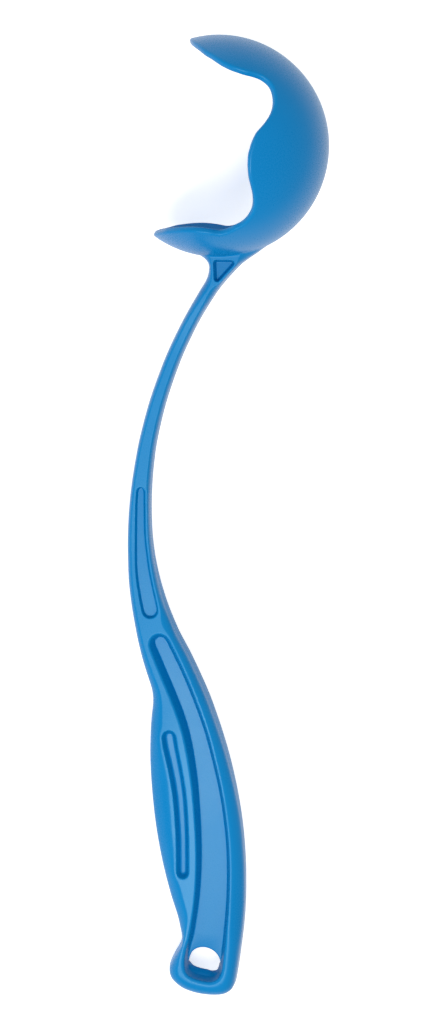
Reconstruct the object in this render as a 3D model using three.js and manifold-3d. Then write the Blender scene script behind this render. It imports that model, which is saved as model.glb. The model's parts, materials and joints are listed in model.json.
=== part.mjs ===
// Dog ball thrower: a one-piece moulded arm whose open cup snaps over a rubber ball
import * as THREE from 'three';
import { ConvexHull } from 'three/addons/math/ConvexHull.js';
import { mergeVertices } from 'three/addons/utils/BufferGeometryUtils.js';
import Module from 'manifold-3d';

const wasm = await Module();
wasm.setup();

// Driving dimensions in millimetres. The mould's own frame has the cup's centre at its origin,
// the parting plane at z = 0, the cup towards +Y and the arm towards -Y.
const ballDiameter = 65;
const ballClearance = 0.5;
const cupWall = 2.2;
const neckRootDepth = 4.2;
const armReach = 246.6;
const armBow = 25.5;
const gripWidth = 28.7;
const gripThickness = 16;
const shaftThickness = 11;
const neckThickness = 13;
const gripShoulder = 4.6;
const shaftShoulder = 1.7;
const neckFillet = 2.5;
const endRounding = 4.2;
const channelDepth = 5.5;
const channelDraft = 1.5;
const grooveDepth = 3;
const grooveDraft = 1.1;
const slotDepth = 1.5;
const slotDraft = 0.8;
const pocketDepth = 3;
const pocketDraft = 0.9;
const pocketCornerRadius = 1.1;
const seamGap = 0.3;
const overrun = 2;
const weldDistance = 0.0001;

// The arm starts at its root inside the cup's wall. Places down it are shares of its reach.
const neckSeamShare = 0.0636;
const gripSeamShare = 0.5007;
const loopSeamShare = 0.9026;
const neckSlimShares = [0.0431, 0.1445];
const swellShares = [0.3809, 0.7073];

const innerRadius = ballDiameter / 2 + ballClearance;
const outerRadius = innerRadius + cupWall;
const neckRoot = outerRadius - neckRootDepth;
const armEnd = neckRoot + armReach;
const shoulderDepthShare = 0.62;
const slimmestShare = 0.72;

// The arm from the neck to the handle's end: distance down, sideways place of the middle and
// width, as shares of armReach, armBow and gripWidth
const armShares = [
	[0.0000, 0.112, 0.985],
	[0.0081, 0.114, 0.785],
	[0.0134, 0.112, 0.643],
	[0.0166, 0.116, 0.528],
	[0.0223, 0.108, 0.424],
	[0.0322, 0.066, 0.298],
	[0.0479, -0.027, 0.203],
	[0.0635, -0.133, 0.182],
	[0.0949, -0.316, 0.166],
	[0.1420, -0.539, 0.162],
	[0.1889, -0.712, 0.166],
	[0.2522, -0.882, 0.177],
	[0.3155, -0.978, 0.203],
	[0.3792, -1.000, 0.248],
	[0.4428, -0.947, 0.330],
	[0.5069, -0.789, 0.450],
	[0.5705, -0.555, 0.573],
	[0.5864, -0.493, 0.588],
	[0.6026, -0.460, 0.635],
	[0.6188, -0.441, 0.699],
	[0.6508, -0.400, 0.810],
	[0.6991, -0.330, 0.918],
	[0.7474, -0.262, 0.974],
	[0.7960, -0.198, 0.958],
	[0.8447, -0.137, 0.877],
	[0.8775, -0.095, 0.790],
	[0.8937, -0.075, 0.736],
	[0.9099, -0.070, 0.699],
	[0.9262, -0.090, 0.697],
	[0.9428, -0.143, 0.745],
	[0.9590, -0.180, 0.769],
	[0.9752, -0.183, 0.723],
	[0.9914, -0.129, 0.515],
	[0.9975, -0.098, 0.285],
	[1.0000, -0.078, 0.040],
];

// The recesses' top edges, given in the same way
const channelShares = [
	[0.5073, -0.730, 0.000],
	[0.5102, -0.731, 0.136],
	[0.5179, -0.734, 0.257],
	[0.5313, -0.705, 0.283],
	[0.5576, -0.582, 0.311],
	[0.5839, -0.477, 0.305],
	[0.6237, -0.331, 0.294],
	[0.6500, -0.255, 0.306],
	[0.6768, -0.204, 0.306],
	[0.7032, -0.150, 0.334],
	[0.7299, -0.112, 0.357],
	[0.7700, -0.070, 0.386],
	[0.8102, -0.051, 0.398],
	[0.8370, -0.055, 0.403],
	[0.8638, -0.064, 0.421],
	[0.8909, -0.096, 0.444],
	[0.9180, -0.132, 0.461],
	[0.9448, -0.161, 0.468],
	[0.9611, -0.154, 0.422],
	[0.9720, -0.129, 0.285],
	[0.9773, -0.084, 0.000],
];
const grooveShares = [
	[0.6379, -0.618, 0.000],
	[0.6399, -0.618, 0.098],
	[0.6439, -0.618, 0.155],
	[0.6573, -0.602, 0.176],
	[0.6773, -0.561, 0.170],
	[0.7039, -0.504, 0.159],
	[0.7304, -0.466, 0.159],
	[0.7705, -0.444, 0.153],
	[0.7973, -0.441, 0.148],
	[0.8241, -0.442, 0.148],
	[0.8322, -0.438, 0.108],
	[0.8370, -0.442, 0.000],
];
const slotShares = [
	[0.3162, -0.969, 0.000],
	[0.3189, -0.969, 0.064],
	[0.3251, -0.970, 0.106],
	[0.3347, -0.976, 0.124],
	[0.3609, -0.986, 0.130],
	[0.4007, -0.978, 0.147],
	[0.4270, -0.956, 0.164],
	[0.4534, -0.909, 0.181],
	[0.4664, -0.884, 0.192],
	[0.4797, -0.862, 0.187],
	[0.4862, -0.859, 0.125],
	[0.4911, -0.865, 0.000],
];
const holeShares = [
	[0.9325, -0.194, 0.000],
	[0.9336, -0.190, 0.110],
	[0.9372, -0.184, 0.215],
	[0.9448, -0.174, 0.325],
	[0.9538, -0.172, 0.366],
	[0.9617, -0.160, 0.370],
	[0.9668, -0.135, 0.270],
	[0.9690, -0.105, 0.080],
	[0.9696, -0.098, 0.000],
];

// The neck pocket's corner middles: distance down and sideways place
const pocketCornerShares = [
	[0.0247, -0.010],
	[0.0444, 0.002],
	[0.0251, 0.165],
];

// The cup's edge seen from its centre, in degrees: turn about the z axis, then angle from that
// axis. It runs from the lower claw's tip over the side lobe to the upper claw's tip.
const cupEdgeDegrees = [
	[-126.2, 88],
	[-125.4, 80],
	[-123, 70],
	[-118, 59.5],
	[-109, 51.5],
	[-100, 48],
	[-92, 47.7],
	[-84, 49.5],
	[-76, 51],
	[-68, 49],
	[-60, 44.5],
	[-51, 36],
	[-43, 27],
	[-35, 23.3],
	[-25, 21.2],
	[-14, 20.5],
	[-4, 20.9],
	[6, 22.3],
	[14, 25],
	[20, 29],
	[28, 37],
	[36, 43],
	[44, 48.8],
	[52, 51],
	[60, 50.3],
	[68, 48.6],
	[76, 48.4],
	[84, 50.2],
	[90, 53.6],
	[95, 59],
	[99.5, 66],
	[102.5, 76],
	[104.2, 88],
];

const sectionSteps = 2;
const cupArcSteps = 16;
const shoulderSteps = 4;
const cornerSteps = 5;
const seatSteps = 24;

// Distance down from the cup's centre at a share of the arm's reach
function placeDown(share) {
	return neckRoot + armReach * share;
}

// Rises smoothly from 0 to 1 over a stretch of the arm given by its two shares
function riseAlong(down, [startShare, endShare]) {
	return THREE.MathUtils.smoothstep(down, placeDown(startShare), placeDown(endShare));
}

// Stations along a table of shares: distance down, place of the middle and width
function stationsAlong(shares) {
	const places = shares.map(([along, sideways, across]) =>
		new THREE.Vector3(sideways * armBow, placeDown(along), across * gripWidth));
	const line = new THREE.CatmullRomCurve3(places, false, 'catmullrom');
	return line.getPoints((places.length - 1) * sectionSteps).map((place) => ({
		down: place.y,
		middle: place.x,
		width: Math.max(place.z, 0),
	}));
}

function armThickness(down) {
	const slim = riseAlong(down, neckSlimShares);
	const swell = riseAlong(down, swellShares);
	const upper = THREE.MathUtils.lerp(neckThickness, shaftThickness, slim);
	return THREE.MathUtils.lerp(upper, gripThickness, swell);
}

function armShoulder(down) {
	const swell = riseAlong(down, swellShares);
	return THREE.MathUtils.lerp(shaftShoulder, gripShoulder, swell);
}

// How far the neck's faces flare out where they meet the ball cup
function neckFlare(down) {
	const run = THREE.MathUtils.clamp((outerRadius + neckFillet - down) / neckFillet, 0, 1);
	return neckFillet * (1 - Math.sqrt(1 - run * run));
}

// How far the faces draw in over the rounded end of the handle
function endShrink(down) {
	const inward = THREE.MathUtils.clamp((armEnd - down) / endRounding, 0, 1);
	return endRounding * (1 - Math.sqrt(1 - (1 - inward) * (1 - inward)));
}

function crestHeight(down) {
	return armThickness(down) / 2 + neckFlare(down) - endShrink(down);
}

// One closed section of the arm: a flat crest on each face between rounded shoulders
function armSection({ down, middle, width }) {
	const half = width / 2;
	const crest = crestHeight(down);
	const shoulder = Math.min(armShoulder(down), half * slimmestShare);
	const shoulderDepth = crest * shoulderDepthShare;
	const quarters = [
		{ side: 1, face: 1, rising: true },
		{ side: -1, face: 1, rising: false },
		{ side: -1, face: -1, rising: true },
		{ side: 1, face: -1, rising: false },
	];
	const ring = [];
	for (const { side, face, rising } of quarters) {
		for (let step = 0; step <= shoulderSteps; step++) {
			const share = step / shoulderSteps;
			const turn = (rising ? share : 1 - share) * Math.PI / 2;
			const x = half - shoulder + shoulder * Math.cos(turn);
			const z = crest - shoulderDepth + shoulderDepth * Math.sin(turn);
			ring.push(new THREE.Vector3(middle + side * x, -down, face * z));
		}
	}
	return ring;
}

// A closed body through rings with as many points each, with a flat face at both ends
function loftGeometry(rings) {
	const count = rings[0].length;
	const last = (rings.length - 1) * count;
	const faces = [];
	for (let row = 0; row < last; row += count) {
		for (let column = 0; column < count; column++) {
			const a = row + column;
			const b = row + (column + 1) % count;
			faces.push(a, b, a + count, b, b + count, a + count);
		}
	}
	for (let column = 1; column + 1 < count; column++) {
		faces.push(0, column + 1, column);
		faces.push(last, last + column, last + column + 1);
	}
	return indexedGeometry(rings.flat(), faces);
}

function indexedGeometry(points, faces) {
	const geometry = new THREE.BufferGeometry();
	geometry.setFromPoints(points);
	geometry.setIndex(faces);
	return geometry;
}

function solidFrom(geometry) {
	const bare = geometry.clone();
	bare.deleteAttribute('normal');
	bare.deleteAttribute('uv');
	const merged = mergeVertices(bare, weldDistance);
	return new wasm.Manifold(new wasm.Mesh({
		numProp: 3,
		vertProperties: merged.attributes.position.array,
		triVerts: Uint32Array.from(merged.index.array),
	}));
}

function geometryFrom(solid) {
	const { vertProperties, triVerts } = solid.getMesh();
	const geometry = new THREE.BufferGeometry();
	geometry.setAttribute('position', new THREE.BufferAttribute(vertProperties, 3));
	geometry.setIndex(new THREE.BufferAttribute(triVerts, 1));
	geometry.computeVertexNormals();
	return geometry;
}

// Both sides of a row of stations as one outline, seen from the front (face 1) or the back (-1)
function outlineOf(stations, face) {
	const sides = [-1, 1].map((side) => stations.map(({ down, middle, width }) =>
		new THREE.Vector2(face * (middle + side * width / 2), -down)));
	const outline = [...sides[0], ...sides[1].reverse()];
	if (face < 0) outline.reverse();
	return outline.filter((point, order) =>
		point.distanceTo(outline[(order + 1) % outline.length]) > weldDistance);
}

function middleAt(stations, down) {
	const next = Math.max(1, stations.findIndex((station) => station.down >= down));
	const [from, to] = [stations[next - 1], stations[next]];
	return THREE.MathUtils.mapLinear(down, from.down, to.down, from.middle, to.middle);
}

// A recess narrows by its draft towards its floor, at its sides and at its ends
function floorStations(stations, draft) {
	const start = stations[0].down;
	const end = stations[stations.length - 1].down;
	const widest = Math.max(...stations.map(({ width }) => width));
	return stations.map(({ down, width }) => {
		const drawnIn = THREE.MathUtils.mapLinear(down, start, end, start + draft, end - draft);
		return {
			down: drawnIn,
			middle: middleAt(stations, drawnIn),
			width: width * (1 - 2 * draft / widest),
		};
	});
}

// The neck pocket's outline: a triangle between its corner middles, rounded by a radius
function pocketOutline(radius, face) {
	const middles = pocketCornerShares.map(([along, sideways]) =>
		new THREE.Vector2(face * sideways * armBow, -placeDown(along)));
	if (face < 0) middles.reverse();
	const shape = new THREE.Shape();
	middles.forEach((middle, corner) => {
		const before = middles[(corner + 2) % 3];
		const after = middles[(corner + 1) % 3];
		const from = Math.atan2(middle.y - before.y, middle.x - before.x) - Math.PI / 2;
		const to = Math.atan2(after.y - middle.y, after.x - middle.x) - Math.PI / 2;
		shape.absarc(middle.x, middle.y, radius, from, to, false);
	});
	return shape.getPoints(cornerSteps).slice(1);
}

// A cutter with a rim outline above the crest and a floor outline, point for point, at its depth
function recessCutter(rim, floor, crest, depth, face) {
	const levels = [[floor, crest - depth], [rim, crest], [rim, crest + overrun]];
	const points = levels.flatMap(([outline, height]) =>
		outline.map(({ x, y }) => new THREE.Vector3(x, y, height)));
	const count = rim.length;
	const faces = [];
	for (let column = 0; column < 2 * count; column++) {
		const beside = column - column % count + (column + 1) % count;
		faces.push(column, beside, column + count, beside, beside + count, column + count);
	}
	for (const [a, b, c] of THREE.ShapeUtils.triangulateShape(floor, [])) faces.push(a, c, b);
	for (const cap of THREE.ShapeUtils.triangulateShape(rim, [])) {
		faces.push(...cap.map((corner) => corner + 2 * count));
	}
	const geometry = indexedGeometry(points, faces);
	if (face < 0) geometry.rotateY(Math.PI);
	return solidFrom(geometry);
}

// A long recess between two rounded ends, drafted all round
function longRecess(shares, crest, depth, draft, face) {
	const stations = stationsAlong(shares);
	const rim = outlineOf(stations, face);
	const floor = outlineOf(floorStations(stations, draft), face);
	return recessCutter(rim, floor, crest, depth, face);
}

function pocketCutter(face) {
	const rim = pocketOutline(pocketCornerRadius, face);
	const floor = pocketOutline(pocketCornerRadius - pocketDraft, face);
	return recessCutter(rim, floor, neckThickness / 2, pocketDepth, face);
}

function holeCutter() {
	const reach = gripThickness + 2 * overrun;
	const outline = outlineOf(stationsAlong(holeShares), 1);
	const geometry = new THREE.ExtrudeGeometry(new THREE.Shape(outline), {
		depth: reach,
		bevelEnabled: false,
	});
	geometry.translate(0, 0, -reach / 2);
	return solidFrom(geometry);
}

// The whole arm with its recesses, before it is parted into neck, shaft, grip and loop
function armSolid() {
	let arm = solidFrom(loftGeometry(stationsAlong(armShares).map(armSection)));
	const gripCrest = gripThickness / 2;
	const shaftCrest = shaftThickness / 2;
	for (const face of [1, -1]) {
		arm = arm.subtract(longRecess(channelShares, gripCrest, channelDepth, channelDraft, face));
		arm = arm.subtract(longRecess(grooveShares, gripCrest, grooveDepth, grooveDraft, face));
		arm = arm.subtract(longRecess(slotShares, shaftCrest, slotDepth, slotDraft, face));
		arm = arm.subtract(pocketCutter(face));
	}
	return arm.subtract(holeCutter());
}

// The slice of the arm between two shares of its reach, with half a seam gap left at each
function armSlice(arm, topShare, bottomShare) {
	const top = placeDown(topShare) + seamGap / 2;
	const bottom = placeDown(bottomShare) - seamGap / 2;
	const slab = new THREE.BoxGeometry(2 * (armBow + gripWidth), bottom - top, 2 * gripThickness);
	slab.translate(0, -(top + bottom) / 2, 0);
	return arm.intersect(solidFrom(slab));
}

function cupPoint(turn, polar, radius) {
	const around = THREE.MathUtils.degToRad(turn);
	const fromAxis = THREE.MathUtils.degToRad(polar);
	return new THREE.Vector3(
		radius * Math.sin(fromAxis) * Math.cos(around),
		radius * Math.sin(fromAxis) * Math.sin(around),
		radius * Math.cos(fromAxis),
	);
}

// Points of one side of the cup's wall: arcs from the near edge over the back to the far edge
function cupGrid(radius) {
	const places = cupEdgeDegrees.map(([turn, polar]) => new THREE.Vector3(turn, polar, 0));
	const line = new THREE.CatmullRomCurve3(places, false, 'catmullrom');
	return line.getPoints((places.length - 1) * sectionSteps).map(({ x: turn, y: edge }) => {
		const arc = [];
		for (let step = 0; step <= cupArcSteps; step++) {
			arc.push(cupPoint(turn, THREE.MathUtils.lerp(edge, 180 - edge, step / cupArcSteps), radius));
		}
		return arc;
	});
}

// The cup is a spherical shell whose edges are cut square to its wall
function cupGeometry() {
	const outer = cupGrid(outerRadius);
	const inner = cupGrid(innerRadius);
	const arcs = outer.length;
	const across = cupArcSteps + 1;
	const faces = [];
	const quad = (a, b, c, d) => faces.push(a, b, c, a, c, d);
	const out = (arc, step) => arc * across + step;
	const into = (arc, step) => (arcs + arc) * across + step;
	for (let arc = 0; arc + 1 < arcs; arc++) {
		for (let step = 0; step < cupArcSteps; step++) {
			quad(out(arc, step), out(arc, step + 1), out(arc + 1, step + 1), out(arc + 1, step));
			quad(into(arc, step), into(arc + 1, step), into(arc + 1, step + 1), into(arc, step + 1));
		}
		quad(out(arc, 0), out(arc + 1, 0), into(arc + 1, 0), into(arc, 0));
		quad(out(arc, cupArcSteps), into(arc, cupArcSteps), into(arc + 1, cupArcSteps), out(arc + 1, cupArcSteps));
	}
	const tip = arcs - 1;
	for (let step = 0; step < cupArcSteps; step++) {
		quad(out(0, step), into(0, step), into(0, step + 1), out(0, step + 1));
		quad(out(tip, step), out(tip, step + 1), into(tip, step + 1), into(tip, step));
	}
	return indexedGeometry([...outer.flat(), ...inner.flat()], faces);
}

function mouldedPlastic() {
	return new THREE.MeshStandardMaterial({ color: 0x0b7fc6, roughness: 0.42, metalness: 0 });
}

function ballCup() {
	const mesh = new THREE.Mesh(cupGeometry(), mouldedPlastic());
	mesh.name = 'ball_cup';
	return mesh;
}

function neck(arm) {
	const seat = new THREE.SphereGeometry(outerRadius + seamGap, 2 * seatSteps, seatSteps);
	const solid = armSlice(arm, -neckSeamShare, neckSeamShare).subtract(solidFrom(seat));
	const mesh = new THREE.Mesh(geometryFrom(solid), mouldedPlastic());
	mesh.name = 'neck';
	return mesh;
}

function shaft(arm) {
	const solid = armSlice(arm, neckSeamShare, gripSeamShare);
	const mesh = new THREE.Mesh(geometryFrom(solid), mouldedPlastic());
	mesh.name = 'shaft';
	return mesh;
}

function grip(arm) {
	const solid = armSlice(arm, gripSeamShare, loopSeamShare);
	const mesh = new THREE.Mesh(geometryFrom(solid), mouldedPlastic());
	mesh.name = 'grip';
	return mesh;
}

function hangLoop(arm) {
	const solid = armSlice(arm, loopSeamShare, 1 + neckSeamShare);
	const mesh = new THREE.Mesh(geometryFrom(solid), mouldedPlastic());
	mesh.name = 'hang_loop';
	return mesh;
}

// Volume-weighted middle of closed meshes
function centreOfMass(meshes) {
	const total = new THREE.Vector3();
	let volume = 0;
	for (const { geometry } of meshes) {
		const { position } = geometry.attributes;
		const index = geometry.index;
		const corner = (order) => new THREE.Vector3().fromBufferAttribute(position, index.getX(order));
		for (let order = 0; order < index.count; order += 3) {
			const [a, b, c] = [corner(order), corner(order + 1), corner(order + 2)];
			const part = a.dot(new THREE.Vector3().crossVectors(b, c)) / 6;
			volume += part;
			total.addScaledVector(a.add(b).add(c), part / 4);
		}
	}
	return total.divideScalar(volume);
}

function hullCorners(face) {
	const corners = [];
	let edge = face.edge;
	do {
		corners.push(edge.head().point);
		edge = edge.next;
	} while (edge !== face.edge);
	return corners;
}

function standsOver(face, centre) {
	const corners = hullCorners(face);
	return corners.every((corner, order) => {
		const along = new THREE.Vector3().subVectors(corners[(order + 1) % corners.length], corner);
		const inward = new THREE.Vector3().crossVectors(face.normal, along);
		return inward.dot(new THREE.Vector3().subVectors(centre, corner)) >= 0;
	});
}

// The thrower lies on its back face: the three points that carry it are those of the hull face
// under its centre of mass
function layDown(group) {
	const points = group.children.flatMap(({ geometry }) => {
		const { position } = geometry.attributes;
		return Array.from({ length: position.count }, (_, order) =>
			new THREE.Vector3().fromBufferAttribute(position, order));
	});
	const centre = centreOfMass(group.children);
	const resting = new ConvexHull().setFromPoints(points).faces
		.filter((face) => standsOver(face, centre))
		.reduce((best, face) => (face.normal.z < best.normal.z ? face : best));
	const up = resting.normal.clone().negate();
	const cupward = new THREE.Vector3(0, 1, 0).projectOnPlane(up).normalize();
	const sideways = new THREE.Vector3().crossVectors(cupward, up);
	const frame = new THREE.Matrix4().makeBasis(sideways, cupward, up);
	group.quaternion.setFromRotationMatrix(frame.transpose());
	group.updateMatrixWorld(true);
	const box = new THREE.Box3().setFromObject(group, true);
	const middle = box.getCenter(new THREE.Vector3());
	group.position.set(-middle.x, -middle.y, -box.min.z);
}

const arm = armSolid();
const moulding = new THREE.Group();
moulding.add(ballCup(), neck(arm), shaft(arm), grip(arm), hangLoop(arm));
layDown(moulding);

const thrower = new THREE.Group();
thrower.name = 'dog_ball_thrower';
thrower.add(moulding);

export default thrower;
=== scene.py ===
import json
import math

import bmesh
import bpy
import numpy as np
from mathutils import Matrix, Vector
from mathutils.geometry import delaunay_2d_cdt


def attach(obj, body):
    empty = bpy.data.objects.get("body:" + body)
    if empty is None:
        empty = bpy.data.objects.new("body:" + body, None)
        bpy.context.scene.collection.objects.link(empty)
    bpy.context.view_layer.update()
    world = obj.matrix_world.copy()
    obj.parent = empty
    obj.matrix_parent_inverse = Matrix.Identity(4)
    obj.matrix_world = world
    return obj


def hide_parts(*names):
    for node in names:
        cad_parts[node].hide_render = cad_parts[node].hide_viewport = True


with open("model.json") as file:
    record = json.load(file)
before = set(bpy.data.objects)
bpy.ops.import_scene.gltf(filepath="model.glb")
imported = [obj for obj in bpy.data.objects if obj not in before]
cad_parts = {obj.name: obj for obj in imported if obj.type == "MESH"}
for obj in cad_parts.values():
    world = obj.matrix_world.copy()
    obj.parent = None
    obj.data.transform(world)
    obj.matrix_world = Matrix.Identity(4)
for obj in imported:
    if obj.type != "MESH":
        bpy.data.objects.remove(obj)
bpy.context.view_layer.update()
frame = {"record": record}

# Dog ball thrower: one moulding of satin blue plastic, shown as a cup, neck, shaft, grip and
# hang loop whose edges meet flush. Sizes are in millimetres in the mould's own frame: the cup's
# centre at the origin, the parting plane at z = 0, the cup towards +Y and the arm towards -Y.
MM = 0.001

# The cup, then the arm: how far below the cup's centre it starts, its length below that, how far
# it bows to the left, its greatest width and its thicknesses, half of the web's thickness under
# the channel, how much the grip's face falls towards its sides, and the hang hole's middle
INNER_RADIUS = 33.0
CUP_WALL = 2.2
OUTER_RADIUS = INNER_RADIUS + CUP_WALL
NECK_ROOT = 31.0
ARM_REACH = 246.6
ARM_BOW = 25.5
GRIP_WIDTH = 28.7
GRIP_THICKNESS = 16.0
SHAFT_THICKNESS = 11.0
NECK_THICKNESS = 13.0
WEB_HALF = 2.5
GRIP_CROWN = 1.2
HANG_HOLE_PLACE = (-4.3, -266.3, 0.0)

# Stretches of the arm as shares of its reach: where the neck grows slim, the grip swells and its
# crown comes and goes, the right flank steepens and eases, and the handle's end turns round
NECK_SLIMS = (0.0431, 0.1445)
GRIP_SWELLS = (0.3809, 0.7073)
CROWN_STARTS = (0.50, 0.64)
CROWN_ENDS = (0.86, 0.95)
FLANK_STARTS = (0.40, 0.47)
FLANK_ENDS = (0.68, 0.80)
END_TURNS = (0.90, 0.95)

# The seams, each as a share of the reach
NECK_SEAM = 0.0636
GRIP_SEAM = 0.5007
LOOP_SEAM = 0.9026

# The arm: distance down, sideways place of the middle and width, as shares of reach, bow and
# grip width
ARM_SHARES = (
    (0.0000, 0.088, 0.978), (0.0087, 0.092, 0.770), (0.0134, 0.104, 0.640),
    (0.0167, 0.103, 0.548), (0.0223, 0.098, 0.425), (0.0270, 0.078, 0.352),
    (0.0322, 0.057, 0.312), (0.0400, 0.014, 0.258), (0.0478, -0.034, 0.225),
    (0.0634, -0.139, 0.204), (0.0947, -0.321, 0.190), (0.1261, -0.475, 0.188),
    (0.1575, -0.607, 0.189), (0.2047, -0.767, 0.195), (0.2521, -0.885, 0.205),
    (0.2838, -0.939, 0.217), (0.3155, -0.977, 0.236), (0.3472, -0.997, 0.258),
    (0.3791, -1.000, 0.282), (0.4109, -0.982, 0.316), (0.4428, -0.942, 0.366),
    (0.4747, -0.876, 0.420), (0.5067, -0.786, 0.486), (0.5227, -0.730, 0.530),
    (0.5387, -0.671, 0.570), (0.5547, -0.613, 0.597), (0.5707, -0.553, 0.616),
    (0.5868, -0.495, 0.634), (0.6029, -0.459, 0.678), (0.6190, -0.440, 0.741),
    (0.6352, -0.420, 0.800), (0.6675, -0.378, 0.893), (0.6999, -0.335, 0.954),
    (0.7323, -0.292, 0.989), (0.7647, -0.251, 1.000), (0.7972, -0.211, 0.981),
    (0.8297, -0.171, 0.935), (0.8622, -0.130, 0.862), (0.8785, -0.108, 0.812),
    (0.8948, -0.089, 0.760), (0.9111, -0.081, 0.719),
)

# Round the handle's end, from its left waist to its right side: sideways place and distance
# down, as shares of bow and reach
HANDLE_END = (
    (-0.480, 0.9111), (-0.471, 0.9190), (-0.486, 0.9280), (-0.572, 0.9437), (-0.636, 0.9595),
    (-0.632, 0.9690), (-0.610, 0.9750), (-0.555, 0.9815), (-0.441, 0.9897), (-0.271, 0.9953),
    (-0.090, 0.9975), (0.075, 0.9965), (0.178, 0.9905), (0.220, 0.9828), (0.240, 0.9738),
    (0.264, 0.9577), (0.286, 0.9413), (0.307, 0.9248),
)

# The recesses' dark edges, given in the same way as the arm. Each ends in a round cap.
SLOT_SHARES = (
    (0.3214, -0.973, 0.102), (0.3431, -0.979, 0.115), (0.3760, -0.979, 0.122),
    (0.3931, -0.974, 0.136), (0.4261, -0.952, 0.168), (0.4530, -0.910, 0.188),
    (0.4658, -0.884, 0.194), (0.4788, -0.858, 0.196),
)
GROOVE_SHARES = (
    (0.6465, -0.614, 0.172), (0.6573, -0.600, 0.174), (0.6773, -0.558, 0.168),
    (0.7039, -0.508, 0.162), (0.7304, -0.473, 0.157), (0.7705, -0.447, 0.152),
    (0.7973, -0.441, 0.149), (0.8280, -0.441, 0.148),
)
CHANNEL_SHARES = (
    (0.5231, -0.736, 0.268), (0.5309, -0.704, 0.279), (0.5573, -0.588, 0.297),
    (0.5838, -0.477, 0.295), (0.6230, -0.331, 0.290), (0.6495, -0.255, 0.297),
    (0.6762, -0.200, 0.309), (0.7029, -0.149, 0.328), (0.7296, -0.111, 0.350),
    (0.7700, -0.071, 0.371), (0.8102, -0.052, 0.384), (0.8642, -0.066, 0.402),
    (0.9185, -0.124, 0.439),
)
# The channel's lower end, round the hang hole
CHANNEL_END = (
    (-0.376, 0.9190), (-0.408, 0.9300), (-0.436, 0.9464), (-0.432, 0.9600), (-0.386, 0.9684),
    (-0.280, 0.9739), (-0.130, 0.9771), (-0.044, 0.9764), (0.038, 0.9706), (0.075, 0.9613),
    (0.092, 0.9480), (0.110, 0.9318), (0.123, 0.9190),
)
# The neck's pocket: the middle of each round corner, as distance down and sideways place, and
# the corners' radius
POCKET_CORNERS = ((0.0239, -0.011), (0.0440, -0.004), (0.0241, 0.171))
POCKET_ROUNDING = 1.1
# Each recess: its floor's height over the parting plane, the run of its drafted wall, the
# radius of its lip and the radius of the wall's root
GROOVE_FORM = (4.8, 1.1, 0.45, 0.8)
SLOT_FORM = (4.0, 0.5, 0.3, 0.3)
POCKET_FORM = (3.5, 0.75, 0.25, 0.25)

# The channel's lip radius: down the left wall, on the right wall, over the upper end's left half
# and round the lower end, which the lip grows towards over a stretch of the reach
LIP_LEFT = ((0.60, 1.05), (0.78, 0.60))
LIP_RIGHT = 0.35
LIP_TOP = 1.0
LIP_END = 1.2
LIP_END_STARTS = 0.88
LIP_END_RUN = 0.07
# The run of the channel's walls, left and right, at places down the reach
RUN_PLACES = (0.50, 0.62, 0.80, 0.90, 0.95, 0.962, 0.972)
RUN_LEFT = (1.75, 1.7, 1.2, 1.1, 0.9, 0.8, 0.4)
RUN_RIGHT = (1.4, 1.35, 1.1, 1.1, 1.25, 1.2, 0.4)
CHANNEL_ROOT = 0.35
# The dark edges in the tables lie where the lip has turned down by 35 degrees
LIP_SHOWS = math.sin(math.radians(35))

# The hang hole: where it meets the channel's walls, as shares of the reach, its top from the
# middle between them, the power of its left end's lean, and its wall's draft
HOLE_LEFT = 0.9565
HOLE_RIGHT = 0.9550
HOLE_TOP = (-0.5, 5.3, 0.0)
LEAN_POWER = 4
HOLE_DRAFT = 0.15
# The soft edge of its upper side: its radius, the angle's sine up to which it grows, the share of
# the room beside the channel's wall that it takes less what stays free, and its least radius
SOFT_RADIUS = 0.45
SOFT_GROWS = 0.5
SOFT_ROOM = 0.8
SOFT_CLEAR = 0.02
SOFT_LEAST = 0.01
# The ledge along its lower side: width, drop, how steeply it starts, the power of its blunt ends,
# how much narrower it is on its right, and over which stretch of it it narrows
LEDGE_WIDTH = 1.7
LEDGE_DROP = 2.1
LEDGE_STEEP = 0.6
LEDGE_BLUNT = 0.4
LEDGE_NARROWS = 0.6
NARROWS_FROM = 0.5
NARROWS_OVER = 0.3

# The shoulders between the arm's edge and its face: distance down as a share of reach, then
# the width in millimetres
SHOULDER_LEFT = ((0.000, 3.4), (0.050, 3.0), (0.080, 1.7), (0.300, 1.5), (0.485, 1.9),
                 (0.530, 2.3), (0.584, 3.1), (0.623, 4.2), (0.665, 5.6), (0.700, 6.4),
                 (0.757, 6.2), (0.797, 5.3), (0.837, 4.8), (0.870, 4.4), (1.000, 4.0))
SHOULDER_RIGHT = ((0.000, 3.4), (0.050, 3.0), (0.080, 1.4), (0.300, 1.5), (0.400, 2.0),
                  (0.466, 2.7), (0.520, 5.0), (1.000, 5.0))
# The steep side face on the right edge, given in the same way, and on the left edge
SIDE_RIGHT = ((0.000, 0.25), (0.380, 0.25), (0.430, 0.50), (0.466, 0.95), (0.600, 1.00),
              (0.680, 0.80), (0.750, 0.45), (0.850, 0.25), (1.000, 0.25))
SIDE_LEFT = 0.25
# The side face's and the shoulder's greatest shares of the shoulder's and the arm's width
SIDE_SHARE = 0.45
SHOULDER_SHARE = 0.36
# The shoulder's depth as a share of the height, less on the right flank, and the power of its
# curve, where 2 is an ellipse
SHOULDER_DEPTH = 0.62
FLANK_SHALLOWER = 0.18
BEND_LEFT = 1.6
BEND_RIGHT = 1.45
BEND_END = 2
FLANK_FLATTER = 0.1

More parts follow.
